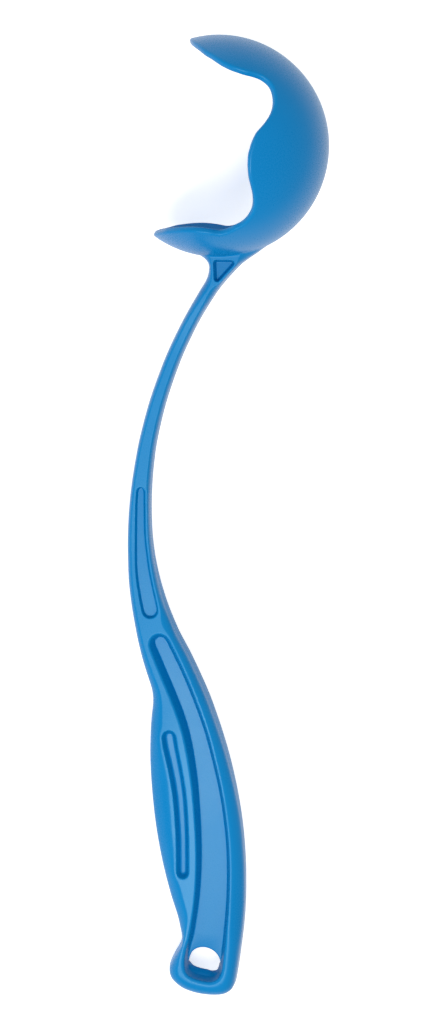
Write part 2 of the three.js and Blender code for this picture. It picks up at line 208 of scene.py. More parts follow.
# How the neck's side rows go on to the cup: the distance from the cup's centre where they start,
# the fillet's radius, its least and greatest reach, how much and with which power of the height
# the reach shrinks, how far the fillet's ends pull it, and its hidden end's depth in the wall
ROOT_STARTS = OUTER_RADIUS + 8.5
NECK_FILLET = 2.5
FILLET_LEAST = 0.3
FILLET_WIDEST = 2.6
FILLET_SHRINKS = 1.9
SHRINK_POWER = 4
FILLET_PULL = 0.6
SUNK = 0.7
# The last points of each row: distance past the fillet and depth in the wall
INTO_WALL = ((0.5, 0.03), (1.0, 0.2), (1.3, SUNK))

# The cup's edge from its centre, in degrees: turn about the z axis, then angle from that axis,
# from the lower claw's tip over the side lobe to the upper claw's tip
CUP_EDGE = (
    (-126.8, 90), (-126.3, 81), (-124.6, 73.3), (-121.2, 63.9), (-117.7, 58.9), (-114.1, 55.4),
    (-110.4, 52.9), (-105, 50.6), (-99.1, 49.6), (-93, 49.8), (-86.9, 51), (-82, 50.6),
    (-78, 49.6), (-74.5, 48.6), (-71.2, 48.1), (-66.9, 46.9), (-62.6, 45), (-58.3, 42.5),
    (-53.9, 39.1), (-49.3, 34.6), (-44.3, 29.6), (-39.5, 26.1), (-35.2, 24.2), (-27.3, 21.9),
    (-20.3, 20.8), (-13.7, 20.2), (-7.4, 20.2), (-1.3, 20.7), (4.8, 21.4), (11.2, 22.9),
    (17.8, 25.5), (21.5, 28.8), (25.3, 33), (29.1, 37.2), (33, 40.8), (36.8, 43.6), (40.7, 46),
    (44.7, 48), (48.7, 49), (54.5, 48.9), (60.2, 47.6), (65.7, 46.2), (71.3, 45.8),
    (77.2, 46.2), (83.2, 48), (87.5, 50.4), (91.9, 54.1), (96.9, 59.4), (102.3, 70.9),
    (104.4, 79.5), (105.4, 90),
)


# The mould's place

def mould_place():
    """The mould's own frame, from the hang hole's place and axis in the record."""
    hole = next(m for m in frame["record"]["mounts"] if m["name"] == "hang_hole")
    up = Vector(hole["axis"]).normalized()
    along = Vector((0, up.z, -up.y)).normalized()
    turn = Matrix((along.cross(up), along, up)).transposed()
    origin = Vector(hole["pos_m"]) - turn @ Vector(HANG_HOLE_PLACE) * MM
    return Matrix.Translation(origin) @ turn.to_4x4()


PLACE = mould_place()


# The spacing of points along lines and over the face, in millimetres, the face's rows as a share
# of its spacing, and the margin that its points keep from its edges
EDGE_SPACING = 0.7
RECESS_SPACING = 0.5
CHANNEL_SPACING = 0.6
FACE_PITCH = 1.5
FACE_ROW_SHARE = 0.866
FACE_MARGIN = 0.7
# The gaps that an outline bridges between a side and its lower end, the length that the arm's
# edge runs on into the cup, and the stretch over which the channel's root fades in
CHANNEL_GAP = 1.5
HANDLE_GAP = 1.0
RUN_ON = 3
ROOT_FADES = 5.0
# How far lines and sizes along them are eased, in steps of their spacing
EDGE_EASE = 1.2
RECESS_EASE = 3
CHANNEL_EASE = 7
WALL_EASE = 5
SIZE_EASE = 4
# Steps along curves, and rows across walls, shoulders and fillets
TABLE_STEPS = 8
CAP_STEPS = 24
POCKET_STEPS = 12
HOLE_STEPS = 41
HOLE_ROWS = 8
LIP_STEPS = 6
ROOT_STEPS = 5
SIDE_STEPS = 12
ROOT_ROWS = 16
FILLET_ROWS = 7
FILLET_PLACES = 21
SUNK_ROWS = 5
# Half the length over which a line's heading is taken
HEADING_STEP = 0.2
# A narrow strip beside each lip, root and shoulder holds their shading
SUPPORT = 0.12
# The narrowest shoulder, the distances within which the halves' points join and those of a fill
# and of a seam are one, and the arm's shortest edge
SHOULDER_LEAST = 0.55
JOINED = 0.003
FILL_NEAR = 1e-5
SEAM_NEAR = 1e-4
SHORTEST = 0.002


# Lines in the mould's plane

def unit(vector):
    return vector / np.linalg.norm(vector)


def smooth(t):
    """From 0 to 1 without a corner at either end."""
    t = np.clip(t, 0, 1)
    return t * t * (3 - 2 * t)


def from_table(share, table):
    """The value at a share of the reach, from a table's rows of share and value."""
    return np.interp(share, *np.array(table).T)


def through(rows):
    """A smooth run of rows that passes through the rows of a table."""
    rows = np.array(rows, float)
    padded = np.vstack((2 * rows[0] - rows[1], rows, 2 * rows[-1] - rows[-2]))
    made = []
    for a, b, c, d in zip(padded, padded[1:], padded[2:], padded[3:]):
        for t in np.arange(TABLE_STEPS) / TABLE_STEPS:
            made.append(0.5 * (2 * b + (c - a) * t + (2 * a - 5 * b + 4 * c - d) * t ** 2
                               + (3 * b - a - 3 * c + d) * t ** 3))
    made.append(rows[-1])
    return np.array(made)


def lengths_along(points):
    steps = np.linalg.norm(np.diff(points, axis=0), axis=1)
    return np.concatenate(([0], np.cumsum(steps)))


def spaced(points, spacing, closed):
    """The same line with even steps of about the spacing."""
    if closed:
        points = np.vstack((points, points[:1]))
    run = lengths_along(points[:, :2])
    count = max(2, int(round(run[-1] / spacing)))
    at = np.linspace(0, run[-1], count + 1)
    if closed:
        at = at[:-1]
    return np.stack([np.interp(at, run, column) for column in points.T], 1)


def eased(values, spread, closed):
    """Values along a line, softened over about the spread, counted in steps."""
    reach = int(math.ceil(3 * spread))
    weights = np.exp(-0.5 * (np.arange(-reach, reach + 1) / spread) ** 2)
    weights /= weights.sum()
    values = np.array(values, float)
    flat = values.reshape(len(values), -1)
    if closed:
        padded = np.vstack((flat[-reach:], flat, flat[:reach]))
    else:
        head = 2 * flat[0] - flat[reach:0:-1]
        tail = 2 * flat[-1] - flat[-2:-reach - 2:-1]
        padded = np.vstack((head, flat, tail))
    soft = np.stack([np.convolve(column, weights, "valid") for column in padded.T], 1)
    return soft.reshape(values.shape)


def inward_normals(points, closed):
    """Unit normals to the left of a line that runs counterclockwise."""
    if closed:
        along = np.roll(points, -1, 0) - np.roll(points, 1, 0)
    else:
        along = np.gradient(points, axis=0)
    along /= np.linalg.norm(along, axis=1)[:, None]
    return np.stack((-along[:, 1], along[:, 0]), 1)


def placed(turning_points):
    """Points of the plane from rows of sideways place and distance down, given as shares."""
    aside, down = (through(turning_points) * (ARM_BOW, ARM_REACH)).T
    return np.stack((aside, -(NECK_ROOT + down)), 1)


def table_sizes(shares):
    """Distances down, sideways places and widths of a table, from its shares."""
    return (through(shares) * (ARM_REACH, ARM_BOW, GRIP_WIDTH)).T


def middle_and_half(shares, spread):
    """A table's middle line with its half width across the line, from top to bottom."""
    down, aside, width = table_sizes(shares)
    line = np.column_stack((aside, -(NECK_ROOT + down), width / 2))
    line = eased(spaced(line, RECESS_SPACING, False), spread, False)
    normals = inward_normals(line[:, :2], False)
    half = line[:, 2] * np.abs(normals[:, 0])
    return line[:, :2], half, normals


def down_to(side, point, gap):
    """The part of a side above a point, with a gap that the outline bridges smoothly."""
    return side[side[:, 1] > point[1] + gap]


def recess_outline(shares, spacing, spread, lower_end=None):
    """A counterclockwise outline with a round top and a round or given lower end."""
    middle, half, normals = middle_and_half(shares, spread)
    right = middle + normals * half[:, None]
    left = middle - normals * half[:, None]
    turn = np.linspace(0, math.pi, CAP_STEPS)[1:-1, None]

    def cap(end, side):
        across = normals[end]
        onward = np.array((-across[1], across[0]))
        return middle[end] + side * half[end] * (across * np.cos(turn) + onward * np.sin(turn))

    if lower_end is None:
        low = cap(-1, -1)
    else:
        low = placed(lower_end)
        left, right = down_to(left, low[0], CHANNEL_GAP), down_to(right, low[-1], CHANNEL_GAP)
    loop = np.vstack((left, low, right[::-1], cap(0, 1)))
    return eased(spaced(loop, spacing, True), EDGE_EASE, True)


def arm_outline():
    """The arm's edge from the neck's left side round the handle's end to its right side.
    Both of the line's ends run straight on into the cup."""
    down, aside, width = table_sizes(ARM_SHARES)
    left = np.stack((aside - width / 2, -(NECK_ROOT + down)), 1)
    right = np.stack((aside + width / 2, -(NECK_ROOT + down)), 1)
    end = placed(HANDLE_END)
    left, right = down_to(left, end[0], HANDLE_GAP), down_to(right, end[-1], HANDLE_GAP)
    loop = np.vstack((left, end, right[::-1]))
    head = loop[0] + unit(loop[0] - loop[1]) * RUN_ON
    tail = loop[-1] + unit(loop[-1] - loop[-2]) * RUN_ON
    return eased(spaced(np.vstack((head, loop, tail)), EDGE_SPACING, False), EDGE_EASE, False)


def rise(down, shares):
    """From 0 to 1 between two shares of the reach."""
    start, end = (NECK_ROOT + ARM_REACH * share for share in shares)
    return smooth((down - start) / (end - start))


def share_at(down):
    return (down - NECK_ROOT) / ARM_REACH


MIDDLE_LINE = (through(ARM_SHARES) * (1, ARM_BOW, 1)).T[:2]


def face_height(points):
    """Height of the arm's face over points of the parting plane, crowned across the grip."""
    down = -points[:, 1]
    upper = NECK_THICKNESS + (SHAFT_THICKNESS - NECK_THICKNESS) * rise(down, NECK_SLIMS)
    level = (upper + (GRIP_THICKNESS - upper) * rise(down, GRIP_SWELLS)) / 2
    aside = (points[:, 0] - np.interp(share_at(down), *MIDDLE_LINE)) / (GRIP_WIDTH / 2)
    crown = GRIP_CROWN * rise(down, CROWN_STARTS) * (1 - rise(down, CROWN_ENDS))
    return level - crown * aside ** 2


def flat_at(level):
    """A height over points that is the same everywhere."""
    return lambda points: np.full(len(points), level)


def nearest_distance(points, others):
    gaps = np.linalg.norm(points[:, None, :] - others[None, :, :], axis=2)
    return gaps.min(axis=1)


def inside(points, loop):
    """Which points lie inside a closed loop."""
    x, y = points[:, :1], points[:, 1:2]
    x0, y0 = loop[:, 0][None, :], loop[:, 1][None, :]
    x1, y1 = np.roll(loop[:, 0], -1)[None, :], np.roll(loop[:, 1], -1)[None, :]
    spans = (y0 > y) != (y1 > y)
    with np.errstate(divide="ignore", invalid="ignore"):
        cross = x0 + (y - y0) * (x1 - x0) / (y1 - y0)
    return (np.sum(spans & (x < cross), axis=1) % 2) == 1


# The moulding's near half

class Half:
    """Points and faces of the moulding's near half."""

    def __init__(self):
        self.points = []
        self.faces = []

    def add(self, points):
        start = sum(len(p) for p in self.points)
        self.points.append(np.asarray(points, float).reshape(-1, 3))
        return start

    def rows(self, grid, closed=False):
        """Faces between rows of points: grid[row][place]. A closed row joins its ends."""
        grid = np.asarray(grid)
        rows, places = grid.shape[:2]
        start = self.add(grid)
        last = places if closed else places - 1
        for row in range(rows - 1):
            for place in range(last):
                beside = (place + 1) % places
                a, b = start + row * places + place, start + row * places + beside
                self.faces.append((a, b, b + places, a + places))

    def fill(self, loops, height, extra=()):
        """A face region between an outer loop and the holes in it, at the height inside."""
        loops = [np.asarray(loop) for loop in loops]
        rims = np.vstack(loops)
        flat = [Vector(p) for p in rims[:, :2]] + [Vector(p) for p in extra]
        edges = []
        start = 0
        for loop in loops:
            count = len(loop)
            edges += [(start + i, start + (i + 1) % count) for i in range(count)]
            start += count
        verts, _, tris, sources, *_ = delaunay_2d_cdt(flat, edges, [], 0, FILL_NEAR)
        verts = np.array([tuple(v) for v in verts])
        tris = np.array([tuple(t) for t in tris])
        centres = verts[tris].mean(axis=1)
        kept = inside(centres, loops[0][:, :2])
        for loop in loops[1:]:
            kept &= ~inside(centres, loop[:, :2])
        z = height(verts)
        for vert, source in enumerate(sources):
            if source and source[0] < len(rims):
                z[vert] = rims[source[0], 2]
        start = self.add(np.column_stack((verts, z)))
        for a, b, c in tris[kept]:
            self.faces.append((start + a, start + b, start + c))


# The recesses

def recess_rows(outline, floor, run, lip, root, support, shifted):
    """Rows over a recess's lip, down its drafted wall and out on its floor."""
    crest = face_height(outline)
    slope = run / (crest - floor)
    turn = math.pi / 2 - np.arctan(slope)
    start = -lip * LIP_SHOWS
    wall = start + lip * np.tan(turn / 2)
    foot = wall + slope * (crest - floor) + root * np.tan(turn / 2)
    grid = []

    def lay(offset, drop, level=None):
        flat = shifted(offset)
        z = face_height(flat) - drop if level is None else level + 0 * crest
        grid.append(np.column_stack((flat, z)))

    lay(start - SUPPORT, 0)
    for angle in np.linspace(0, 1, LIP_STEPS)[:, None] * turn:
        lay(start + lip * np.sin(angle), lip * (1 - np.cos(angle)))
    for angle in np.linspace(1, 0, ROOT_STEPS)[:, None] * turn:
        lay(foot - root * np.sin(angle), 0, floor + root * (1 - np.cos(angle)))
    lay(foot + support, 0, floor)
    return np.array(grid)


def offset_line(outline):
    """A function that gives the outline moved in by an offset, or by one for each place."""
    normals = inward_normals(outline, True)
    return lambda offset: outline + normals * np.broadcast_to(offset, len(outline))[:, None]


def pocket_line(offset):
    """The outline of the neck's triangular pocket with round corners, moved in by the offset."""
    middles = np.array([(aside * ARM_BOW, -(NECK_ROOT + ARM_REACH * along))
                        for along, aside in POCKET_CORNERS])
    offset = float(np.mean(offset))
    rounding = max(POCKET_ROUNDING - offset, SUPPORT)
    inset = offset + rounding - POCKET_ROUNDING
    line = []
    for corner in range(3):
        here, before, after = middles[corner], middles[corner - 1], middles[(corner + 1) % 3]
        come, go = unit(here - before), unit(after - here)
        centre = here + (go - come) * inset / (come[0] * go[1] - come[1] * go[0])
        start = math.atan2(come[1], come[0]) - math.pi / 2
        end = math.atan2(go[1], go[0]) - math.pi / 2
        if end < start:
            end += 2 * math.pi
        angles = np.linspace(start, end, POCKET_STEPS)[:, None]
        line.append(centre + rounding * np.hstack((np.cos(angles), np.sin(angles))))
    along = np.linspace(0, 1, POCKET_STEPS)[1:-1, None]
    sides = [a[-1] + (b[0] - a[-1]) * along for a, b in zip(line, line[1:] + line[:1])]
    return np.vstack([part for pair in zip(line, sides) for part in pair])


def sink_plain_recess(half, outline, form, shifted):
    """The groove, the slot or the pocket, with its floor. Returns its rim in the face."""
    grid = recess_rows(outline, *form, SUPPORT, shifted)
    half.rows(grid, closed=True)
    half.fill([grid[-1]], flat_at(form[0]))
    return grid[0]


def channel_line():
    """The channel's outline, which places are on its left, and each place's lip and run."""
    outline = recess_outline(CHANNEL_SHARES, CHANNEL_SPACING, CHANNEL_EASE, CHANNEL_END)
    share = share_at(-outline[:, 1])
    order = np.arange(len(outline))
    on_left = order < int(np.argmin(outline[:, 1]))
    on_top = order > int(np.argmax(outline[:, 1]))
    lip = np.where(on_left, from_table(share, LIP_LEFT), np.where(on_top, LIP_TOP, LIP_RIGHT))
    lip = lip + (LIP_END - lip) * np.clip((share - LIP_END_STARTS) / LIP_END_RUN, 0, 1)
    run = np.where(on_left, np.interp(share, RUN_PLACES, RUN_LEFT),
                   np.interp(share, RUN_PLACES, RUN_RIGHT))
    return outline, on_left, eased(lip, WALL_EASE, True), eased(run, WALL_EASE, True)


def sink_channel(half):
    """The handle's long channel, whose walls run on into the hang hole at its lower end."""
    outline, on_left, lip, run = channel_line()
    share = share_at(-outline[:, 1])
    order = np.arange(len(outline))
    left = int(np.argmin(np.where(on_left, np.abs(share - HOLE_LEFT), np.inf)))
    right = int(np.argmin(np.where(on_left, np.inf, np.abs(share - HOLE_RIGHT))))
    # the wall's root fades out where the hang hole's edge takes its place
    beyond = np.where(on_left, left - order, order - right) * CHANNEL_SPACING
    fade = smooth(beyond / ROOT_FADES)
    grid = recess_rows(outline, WEB_HALF, run, lip, CHANNEL_ROOT * fade, SUPPORT * fade,
                       offset_line(outline))
    half.rows(grid, closed=True)
    sink_hang_hole(half, grid[-1], inward_normals(outline, True), left, right)
    return grid[0]


def hole_arc(start, end):
    """The hang hole's upper edge, a half ellipse from the right wall's foot to the left one's,
    with its inward normals and the angles of its points."""
    reach, top = (end - start) / 2, np.array(HOLE_TOP)
    angles = np.linspace(0, math.pi, HOLE_STEPS)[1:-1, None]
    arc = (start + end) / 2 + reach * np.cos(angles) + top * np.sin(angles)
    # its left end leans in, clear of the channel's wall
    arc += unit(reach) * (np.sin(angles) * np.minimum(np.cos(angles), 0) ** LEAN_POWER)
    way = -reach * np.sin(angles) + top * np.cos(angles)
    way /= np.linalg.norm(way, axis=1)[:, None]
    return arc, np.stack((-way[:, 1], way[:, 0], 0 * way[:, 0]), 1), angles[:, 0]


def sink_hang_hole(half, foot, normals, left, right):
    """The hang hole, from the feet of the channel's walls: an arc above and below it a ledge
    along the channel's lower end."""
    arc, arc_in, angles = hole_arc(foot[left], foot[right])
    wall = foot[left:right + 1]
    wall_in = np.column_stack((normals[left:right + 1], 0 * wall[:, 0]))
    along = np.linspace(0, 1, len(wall))
    ledge = LEDGE_WIDTH * np.sin(math.pi * along) ** LEDGE_BLUNT
    ledge *= 1 - LEDGE_NARROWS * np.clip((along - NARROWS_FROM) / NARROWS_OVER, 0, 1)
    ledge[0] = ledge[-1] = 0
    edge = np.vstack((wall + wall_in * ledge[:, None], arc))
    edge_in = np.vstack((wall_in, arc_in))

    # the arc's soft edge stays clear of the channel's walls
    left_wall, right_wall = foot[left::-1], foot[right:]
    room = np.minimum(arc[:, 0] - np.interp(arc[:, 1], left_wall[:, 1], left_wall[:, 0]),
                      np.interp(arc[:, 1], right_wall[:, 1], right_wall[:, 0]) - arc[:, 0])
    soft_arc = SOFT_RADIUS * np.clip(np.sin(angles) / SOFT_GROWS, 0, 1)
    soft_arc = np.minimum(soft_arc, np.maximum(SOFT_ROOM * room - SOFT_CLEAR, SOFT_LEAST))
    inset = np.concatenate((ledge, soft_arc))
    rows = []
    for angle in np.linspace(0, math.pi / 2, HOLE_ROWS):
        down = math.sin(angle)
        row = edge - edge_in * (inset * (1 - down))[:, None]
        sunk = LEDGE_DROP * (LEDGE_STEEP + (1 - LEDGE_STEEP) * down) * down
        row[:, 2] = WEB_HALF - np.concatenate((sunk + 0 * ledge,
                                               soft_arc * (1 - math.cos(angle))))
        rows.append(row)
    rows.append((edge + edge_in * HOLE_DRAFT) * (1, 1, 0))
    half.rows(np.array(rows), closed=True)
    region = np.vstack((foot[right:], foot[:left + 1], rows[0][len(wall):][::-1]))
    half.fill([region], flat_at(WEB_HALF))


def sink_recesses(half):
    """Strips and floors of all the recesses. Returns their rims in the face."""
    rims = []
    for shares, form in ((GROOVE_SHARES, GROOVE_FORM), (SLOT_SHARES, SLOT_FORM)):
        outline = recess_outline(shares, RECESS_SPACING, RECESS_EASE)
        rims.append(sink_plain_recess(half, outline, form, offset_line(outline)))
    rims.append(sink_plain_recess(half, pocket_line(0), POCKET_FORM, pocket_line))
    rims.append(sink_channel(half))
    return rims


# The arm's sides and its root on the cup

def shoulder_sizes(loop, rims):
    """Width, depth, draft and bend of the shoulder at each place of the arm's edge."""
    down = -loop[:, 1]
    share = share_at(down)
    on_right = np.arange(len(loop)) > int(np.argmax(down))

    wanted = np.where(on_right, from_table(share, SHOULDER_RIGHT),
                      from_table(share, SHOULDER_LEFT))
    room = nearest_distance(loop, np.vstack(rims)[:, :2]) - 2 * SUPPORT
    room = np.maximum(room, SHOULDER_LEAST)
    arm_width = GRIP_WIDTH * np.interp(share, *np.array(ARM_SHARES).T[[0, 2]])
    across = np.minimum(np.minimum(eased(wanted, SIZE_EASE, False), room),
                        SHOULDER_SHARE * arm_width)
    across = np.minimum(eased(across, SIZE_EASE / 2, False), room)

    flank = rise(down, FLANK_STARTS) * (1 - rise(down, FLANK_ENDS)) * on_right
    depth = eased(SHOULDER_DEPTH - FLANK_SHALLOWER * flank, SIZE_EASE, False)
    draft = np.where(on_right, from_table(share, SIDE_RIGHT), SIDE_LEFT)
    draft = np.minimum(eased(draft, SIZE_EASE, False), SIDE_SHARE * across)
    end = rise(down, END_TURNS)
    bend = np.where(on_right, BEND_RIGHT - FLANK_FLATTER * flank, BEND_LEFT)
    bend = eased(bend * (1 - end) + BEND_END * end, SIZE_EASE, False)
    return across, depth, draft, bend


def shoulder_rows(loop, normals, across, depth, draft, bend):
    """Rows from the parting line up the side and over the shoulder to the face."""
    def lay(inset, lift):
        flat = loop + normals * inset[:, None]
        return np.column_stack((flat, face_height(flat) * lift))

    rows = [lay(0 * across, 0), lay(0.5 * draft, 0.5 * (1 - depth))]
    for angle in np.linspace(0, math.pi / 2, SIDE_STEPS + 1):
        left = max(math.cos(angle), 0) ** (2 / bend)
        rows.append(lay(draft + (across - draft) * (1 - left),
                        1 - depth + depth * math.sin(angle)))
    rows.append(lay(across + SUPPORT, 1))
    return np.array(rows)


def climb(line, tilt, widest):
    """From the arm along a line to the cup's sphere, and round a fillet onto it."""
    gap = np.linalg.norm(line, axis=1) - OUTER_RADIUS
    hit = int(np.argmax(gap < 0))
    if gap[hit] >= 0:
        raise RuntimeError("a line of the neck doesn't reach the cup")
    run = lengths_along(line)
    part = gap[hit - 1] / (gap[hit - 1] - gap[hit])
    met = run[hit - 1] + part * (run[hit] - run[hit - 1])

    def at(place, values):
        return np.array([np.interp(place, run, column) for column in values.T])

    def heading(place):
        return unit(at(place + HEADING_STEP, line) - at(place - HEADING_STEP, line))

    def on_sphere(point, up):
        """The direction at a point that is nearest to up and touches the sphere."""
        radial = unit(point)
        return unit(up - up.dot(radial) * radial)

    foot = at(met, line)
    up = on_sphere(foot, at(met, tilt))
    angle = math.acos(np.clip(-heading(met).dot(up), -1, 1))
    reach = np.clip(NECK_FILLET / math.tan(angle / 2), FILLET_LEAST, widest)
    start = at(met - reach, line)
    end = foot + up * reach
    end *= OUTER_RADIUS / np.linalg.norm(end)
    up = on_sphere(end, up)
    near = start + heading(met - reach) * FILLET_PULL * reach
    far = end - up * FILLET_PULL * reach
    points = [at(place, line) for place in np.linspace(0, met - reach, ROOT_ROWS + 1)]
    for t in np.arange(1, FILLET_ROWS + 1) / FILLET_ROWS:
        s = 1 - t
        points.append(s ** 3 * start + 3 * s * s * t * near + 3 * s * t * t * far + t ** 3 * end)
    for further, deep in INTO_WALL:
        point = end + up * further
        points.append(point * (OUTER_RADIUS - deep) / np.linalg.norm(point))
    return points


def side_roots(levels, first, last):
    """The rows of both sides, from where they leave the arm's edge to inside the cup's wall."""
    tilt = np.cross(np.gradient(levels, axis=1), np.gradient(levels, axis=0))
    tilt /= np.linalg.norm(tilt, axis=2)[:, :, None]
    # the fillet narrows towards the face, where the pocket's rim lies close to the cup
    lifts = levels[:, first, 2] / levels[-1, first, 2]
    widest = FILLET_WIDEST - FILLET_SHRINKS * lifts ** SHRINK_POWER
    roots = []
    for stretch in (slice(first, None, -1), slice(last, None)):
        root = np.array([climb(level[stretch], slant[stretch], most)
                         for level, slant, most in zip(levels, tilt, widest)])
        # the lowest row stays in the parting plane and ends on the hidden sphere
        root[0, :, 2] = 0
        root[0, -1] *= (OUTER_RADIUS - SUNK) / np.linalg.norm(root[0, -1])
        roots.append(root)
    return roots


def face_fillet(start, end):
    """The face's fillet onto the cup, turned about the z axis from one root to the other."""
    rows = []
    for a, b in zip(start, end):
        turn_a, turn_b = math.atan2(a[1], a[0]), math.atan2(b[1], b[0])
        rho_a, rho_b = math.hypot(a[0], a[1]), math.hypot(b[0], b[1])
        row = []
        for t in np.linspace(0, 1, FILLET_PLACES):
            turn = turn_a + (turn_b - turn_a) * t
            rho = rho_a + (rho_b - rho_a) * t
            row.append((rho * math.cos(turn), rho * math.sin(turn), a[2] + (b[2] - a[2]) * t))
        row[0], row[-1] = a, b
        rows.append(row)
    return np.array(rows)


def sunk_end(edge):
    """The hidden end inside the cup's wall, from its edge down to the parting plane."""
    rings = []
    for part in np.linspace(1, 0, SUNK_ROWS):
        ring = edge.copy()
        ring[:, 2] *= part
        flat = np.hypot(ring[:, 0], ring[:, 1])
        wide = np.sqrt((OUTER_RADIUS - SUNK) ** 2 - ring[:, 2] ** 2)
        ring[:, :2] *= (wide / flat)[:, None]
        rings.append(ring)
    return np.array(rings)


def face_dots(outer, rims):
    """Evenly spaced points of the face, between its outer edge and the recesses' rims."""
    low, high = outer.min(axis=0), outer.max(axis=0)
    rows = np.arange(low[1], high[1], FACE_PITCH * FACE_ROW_SHARE)
    dots = np.array([(x + (order % 2) * FACE_PITCH / 2, y) for order, y in enumerate(rows)
                     for x in np.arange(low[0], high[0], FACE_PITCH)])
    kept = inside(dots, outer)
    for rim in rims:
        kept &= ~inside(dots, rim)
    dots = dots[kept]
    return dots[nearest_distance(dots, np.vstack([outer] + rims)) > FACE_MARGIN]


def arm_half():
    """The near half: recesses, sides, the root on the cup and the face between them."""
    half = Half()
    rims = sink_recesses(half)
    loop = arm_outline()
    levels = shoulder_rows(loop, inward_normals(loop, False), *shoulder_sizes(loop, rims))

    down = -loop[:, 1]
    tip = int(np.argmax(down))
    first = int(np.argmax(down > ROOT_STARTS))
    last = tip + int(np.argmax(down[tip:] < ROOT_STARTS)) - 1
    half.rows(levels[:, first:last + 1])

    left_root, right_root = side_roots(levels, first, last)
    half.rows(left_root[:, ::-1])
    half.rows(right_root)
    fillet = face_fillet(left_root[-1, ROOT_ROWS:], right_root[-1, ROOT_ROWS:])
    half.rows(fillet)
    half.rows(sunk_end(np.vstack((left_root[:-1, -1], fillet[-1], right_root[:-1, -1][::-1]))))

    outer = np.vstack((left_root[-1, ROOT_ROWS::-1], levels[-1, first + 1:last],
                       right_root[-1, :ROOT_ROWS + 1], fillet[0][-2:0:-1]))
    dots = face_dots(outer[:, :2], [rim[:, :2] for rim in rims])
    half.fill([outer] + rims, face_height, dots)
    return half


# The whole arm and its pieces

def whole_arm():
    """The near half and its mirror image as one closed mesh."""
    half = arm_half()
    near = np.vstack(half.points)
    whole = bmesh.new()
    for side in (1, -1):
        verts = [whole.verts.new((x, y, side * z)) for x, y, z in near]
        for face in half.faces:
            corners = [verts[i] for i in (face if side > 0 else reversed(face))]
            if len(set(corners)) > 2:
                whole.faces.new(corners)
    bmesh.ops.remove_doubles(whole, verts=whole.verts, dist=JOINED)
    bmesh.ops.dissolve_degenerate(whole, edges=whole.edges, dist=SHORTEST)
    return whole


def arm_slice(whole, top, bottom):
    """The stretch of the arm between two distances down, closed at its seams."""
    part = whole.copy()
    for down, way in ((top, 1), (bottom, -1)):
        if down is None:
            continue
        everything = part.verts[:] + part.edges[:] + part.faces[:]
        cut = bmesh.ops.bisect_plane(part, geom=everything, dist=SEAM_NEAR,
                                     plane_co=(0, -down, 0), plane_no=(0, way, 0),
                                     clear_outer=True)
        rim = [e for e in cut["geom_cut"] if isinstance(e, bmesh.types.BMEdge)]
        cap = bmesh.ops.edgeloop_fill(part, edges=rim)["faces"]
        for face in cap:
            face.normal_update()
            if face.normal.y * way < 0:
                face.normal_flip()
            for edge in face.edges:
                edge.smooth = False
        part.faces.index_update()
    return part


def arm_piece(part, name, node, plastic):
    """A piece of the arm from its slice, in metres and in its place."""
    mesh = bpy.data.meshes.new(name)
    for face in part.faces:
        face.smooth = True
    bmesh.ops.triangulate(part, faces=[f for f in part.faces if len(f.verts) > 4])
    part.to_mesh(mesh)
    part.free()
    mesh.transform(PLACE @ Matrix.Scale(MM, 4))
    mesh.materials.append(plastic)
    show(mesh, name, node)


def put(name, data):
    """A new object of the scene."""
    made = bpy.data.objects.new(name, data)
    bpy.context.scene.collection.objects.link(made)
    return made


def show(mesh, name, node):
    """A visible piece of the thrower, which stands for a solid."""
    piece = put(name, mesh)
    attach(piece, "root")
    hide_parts(node)


# The cup

# The tree's inputs in metres and steps. The edge's section is a circle at power 1 and squarer
# below it.
CUP_SIZES = {"Inner Radius": INNER_RADIUS * MM, "Wall": CUP_WALL * MM, "Stations": 221,
             "Arc Steps": 26, "Edge Steps": 18, "Edge Power": 0.66}
RIM_RESOLUTION = 24
CUP_JOINED = 0.002


def add_node(tree, kind, feeds=(), **settings):
    """A node with its settings made and its inputs fed by values or by other sockets."""
    node = tree.nodes.new(kind)
    for name, value in settings.items():
        setattr(node, name, value)
    for socket, value in dict(feeds).items():
        if isinstance(value, bpy.types.NodeSocket):
            tree.links.new(value, node.inputs[socket])
        else:
            node.inputs[socket].default_value = value
    return node


def bare_tree(owner):
    """The emptied node tree of a material or the world."""
    owner.use_nodes = True
    owner.node_tree.nodes.clear()
    return owner.node_tree


def maths(tree, operation, *values, clamp=False):
    node = add_node(tree, "ShaderNodeMath", dict(enumerate(values)), operation=operation,
                    use_clamp=clamp)
    return node.outputs[0]


def vectors(tree, operation, *values):
    node = add_node(tree, "ShaderNodeVectorMath", dict(enumerate(values)), operation=operation)
    return node.outputs[0]


def scaled(tree, vector, factor):
    node = add_node(tree, "ShaderNodeVectorMath", {0: vector, "Scale": factor},
                    operation="SCALE")
    return node.outputs[0]


def rim_curve(tree, rim):
    """A closed smooth curve through the points of the rim."""
    points = add_node(tree, "GeometryNodeMeshToPoints", {"Mesh": rim}).outputs[0]
    line = add_node(tree, "GeometryNodePointsToCurves", {"Points": points}).outputs[0]
    line = add_node(tree, "GeometryNodeSetSplineCyclic", {"Geometry": line, "Cyclic": True})
    line = add_node(tree, "GeometryNodeCurveSplineType", {"Curve": line.outputs[0]},
                    spline_type="CATMULL_ROM")
    line = add_node(tree, "GeometryNodeSetSplineResolution",
                    {"Geometry": line.outputs[0], "Resolution": RIM_RESOLUTION})
    return line.outputs[0]


